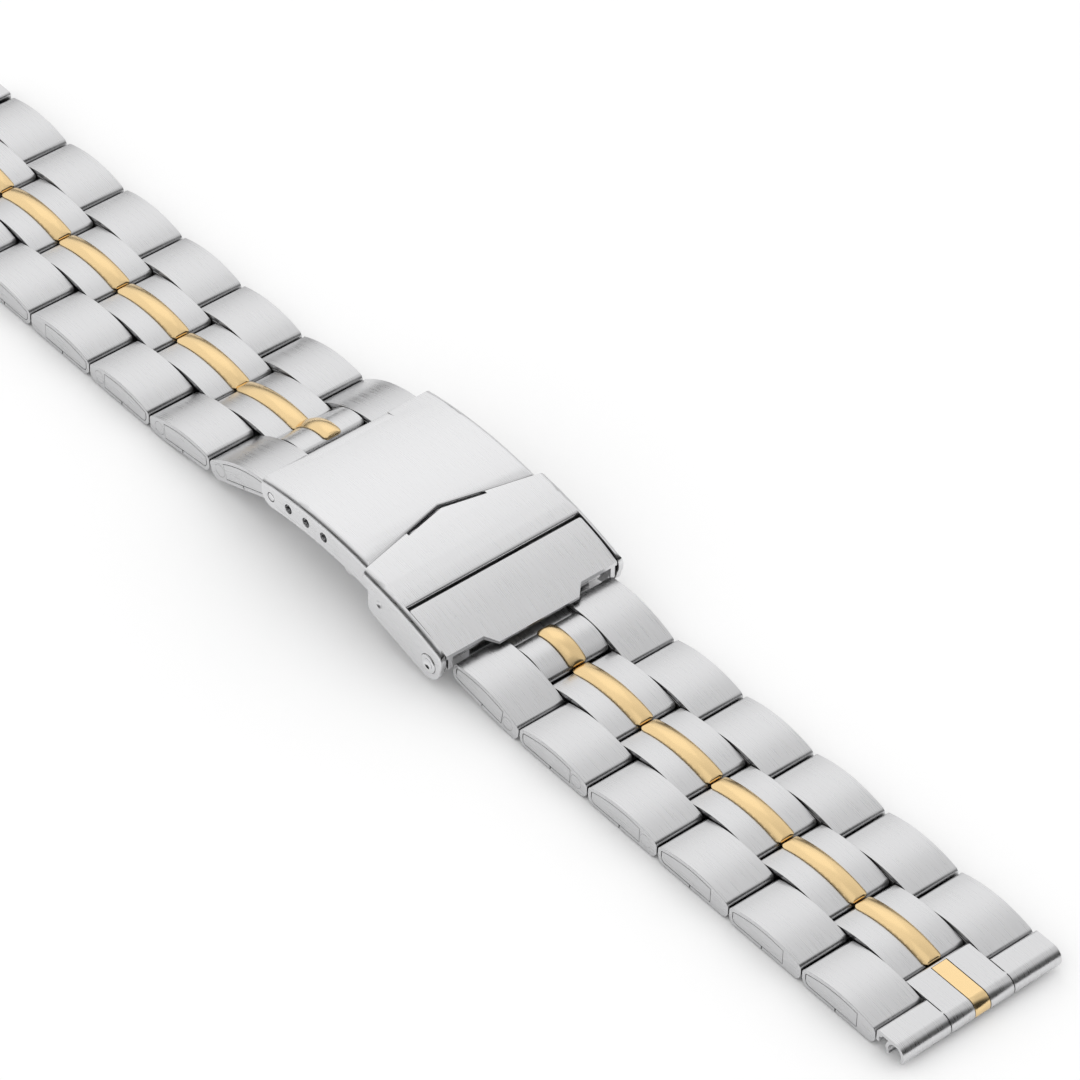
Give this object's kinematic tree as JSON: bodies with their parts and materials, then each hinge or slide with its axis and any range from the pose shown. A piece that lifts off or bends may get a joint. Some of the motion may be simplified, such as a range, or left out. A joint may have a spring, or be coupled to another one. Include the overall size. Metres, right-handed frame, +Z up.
{
  "type": "watch bracelet",
  "caption": "Folded-link steel watch bracelet with a gold-coloured centre bar, folding clasp with adjusting holes, hinged safety catch and curled ends for spring bars.",
  "frame": {"origin": "on the floor under the middle of the bracelet's length and width", "axes": "+X along the bracelet from the cover side to the safety-catch side, +Y across the band, +Z up out of the top face"},
  "size_m": [0.152, 0.0212, 0.0076],
  "materials": {
    "brushed_steel": "fine brushing along the bracelet",
    "polished_steel": "polished",
    "gold": "polished pale gold plating"
  },
  "bodies": {
    "cover": {"cover": "brushed_steel", "spring_bar_tube": "polished_steel", "spring_bar_tips": "polished_steel", "cover_pin": "polished_steel"},
    "upper_blade": {"upper_blade": "brushed_steel", "fold_pin": "polished_steel"},
    "lower_blade": {"lower_blade": "brushed_steel", "end_block": "brushed_steel", "clasp_pin": "polished_steel"},
    "safety_catch": {"safety_catch": "brushed_steel"},
    "link_right_1": {"outer_links_right_1": "brushed_steel", "centre_link_right_1": "brushed_steel", "gold_bar_right_1": "gold"},
    "link_right_2": {"outer_links_right_2": "brushed_steel", "centre_link_right_2": "brushed_steel", "gold_bar_right_2": "gold"},
    "link_right_3": {"outer_links_right_3": "brushed_steel", "centre_link_right_3": "brushed_steel", "gold_bar_right_3": "gold"},
    "link_right_4": {"outer_links_right_4": "brushed_steel", "centre_link_right_4": "brushed_steel", "gold_bar_right_4": "gold"},
    "link_right_5": {"outer_links_right_5": "brushed_steel", "centre_link_right_5": "brushed_steel", "gold_bar_right_5": "gold"},
    "link_right_6": {"outer_links_right_6": "brushed_steel", "centre_link_right_6": "brushed_steel", "gold_bar_right_6": "gold"},
    "end_right": {"end_piece_right": "brushed_steel", "gold_inlay_right": "gold"},
    "link_left_1": {"outer_links_left_1": "brushed_steel", "centre_link_left_1": "brushed_steel", "gold_bar_left_1": "gold"},
    "link_left_2": {"outer_links_left_2": "brushed_steel", "centre_link_left_2": "brushed_steel", "gold_bar_left_2": "gold"},
    "link_left_3": {"outer_links_left_3": "brushed_steel", "centre_link_left_3": "brushed_steel", "gold_bar_left_3": "gold"},
    "link_left_4": {"outer_links_left_4": "brushed_steel", "centre_link_left_4": "brushed_steel", "gold_bar_left_4": "gold"},
    "link_left_5": {"outer_links_left_5": "brushed_steel", "centre_link_left_5": "brushed_steel", "gold_bar_left_5": "gold"},
    "link_left_6": {"outer_links_left_6": "brushed_steel", "centre_link_left_6": "brushed_steel", "gold_bar_left_6": "gold"},
    "link_left_7": {"outer_links_left_7": "brushed_steel", "centre_link_left_7": "brushed_steel", "gold_bar_left_7": "gold"},
    "end_left": {"end_piece_left": "brushed_steel", "gold_inlay_left": "gold"}
  },
  "joints": [
    {"name": "clasp_opening", "type": "hinge", "parent": "cover", "child": "upper_blade", "pos_m": [0.00362, 0, 0.0047], "axis": [0, -1, 0], "range_deg": [0, 160]},
    {"name": "blade_fold", "type": "hinge", "parent": "upper_blade", "child": "lower_blade", "pos_m": [-0.00678, 0, 0.00255], "axis": [0, -1, 0], "range_deg": [-160, 0]},
    {"name": "catch_opening", "type": "hinge", "parent": "lower_blade", "child": "safety_catch", "pos_m": [0.01592, 0, 0.00256], "axis": [0, 1, 0], "range_deg": [0, 115]},
    {"name": "hinge_right_1", "type": "hinge", "parent": "lower_blade", "child": "link_right_1", "pos_m": [0.01592, 0, 0.00256], "axis": [0, 1, 0], "range_deg": [-4, 25]},
    {"name": "hinge_right_2", "type": "hinge", "parent": "link_right_1", "child": "link_right_2", "pos_m": [0.02502, 0, 0.00115], "axis": [0, 1, 0], "range_deg": [-6.2, 38.8]},
    {"name": "hinge_right_3", "type": "hinge", "parent": "link_right_2", "child": "link_right_3", "pos_m": [0.03422, 0, 0.00115], "axis": [0, 1, 0], "range_deg": [-15, 30]},
    {"name": "hinge_right_4", "type": "hinge", "parent": "link_right_3", "child": "link_right_4", "pos_m": [0.04342, 0, 0.00115], "axis": [0, 1, 0], "range_deg": [-15, 30]},
    {"name": "hinge_right_5", "type": "hinge", "parent": "link_right_4", "child": "link_right_5", "pos_m": [0.05262, 0, 0.00115], "axis": [0, 1, 0], "range_deg": [-15, 30]},
    {"name": "hinge_right_6", "type": "hinge", "parent": "link_right_5", "child": "link_right_6", "pos_m": [0.06182, 0, 0.00115], "axis": [0, 1, 0], "range_deg": [-15, 30]},
    {"name": "hinge_right_end", "type": "hinge", "parent": "link_right_6", "child": "end_right", "pos_m": [0.07102, 0, 0.00115], "axis": [0, 1, 0], "range_deg": [-15, 30]},
    {"name": "hinge_left_1", "type": "hinge", "parent": "cover", "child": "link_left_1", "pos_m": [-0.00728, 0, 0.00551], "axis": [0, -1, 0], "range_deg": [-12, 20]},
    {"name": "hinge_left_2", "type": "hinge", "parent": "link_left_1", "child": "link_left_2", "pos_m": [-0.01588, 0, 0.00226], "axis": [0, -1, 0], "range_deg": [-1.2, 43.8]},
    {"name": "hinge_left_3", "type": "hinge", "parent": "link_left_2", "child": "link_left_3", "pos_m": [-0.02502, 0, 0.00115], "axis": [0, -1, 0], "range_deg": [-8.1, 36.9]},
    {"name": "hinge_left_4", "type": "hinge", "parent": "link_left_3", "child": "link_left_4", "pos_m": [-0.03422, 0, 0.00115], "axis": [0, -1, 0], "range_deg": [-15, 30]},
    {"name": "hinge_left_5", "type": "hinge", "parent": "link_left_4", "child": "link_left_5", "pos_m": [-0.04342, 0, 0.00115], "axis": [0, -1, 0], "range_deg": [-15, 30]},
    {"name": "hinge_left_6", "type": "hinge", "parent": "link_left_5", "child": "link_left_6", "pos_m": [-0.05262, 0, 0.00115], "axis": [0, -1, 0], "range_deg": [-15, 30]},
    {"name": "hinge_left_7", "type": "hinge", "parent": "link_left_6", "child": "link_left_7", "pos_m": [-0.06182, 0, 0.00115], "axis": [0, -1, 0], "range_deg": [-15, 30]},
    {"name": "hinge_left_end", "type": "hinge", "parent": "link_left_7", "child": "end_left", "pos_m": [-0.07102, 0, 0.00115], "axis": [0, -1, 0], "range_deg": [-15, 30]}
  ],
  "couplings": [
    {"joint": "blade_fold", "follows": "clasp_opening", "ratio": -1}
  ]
}
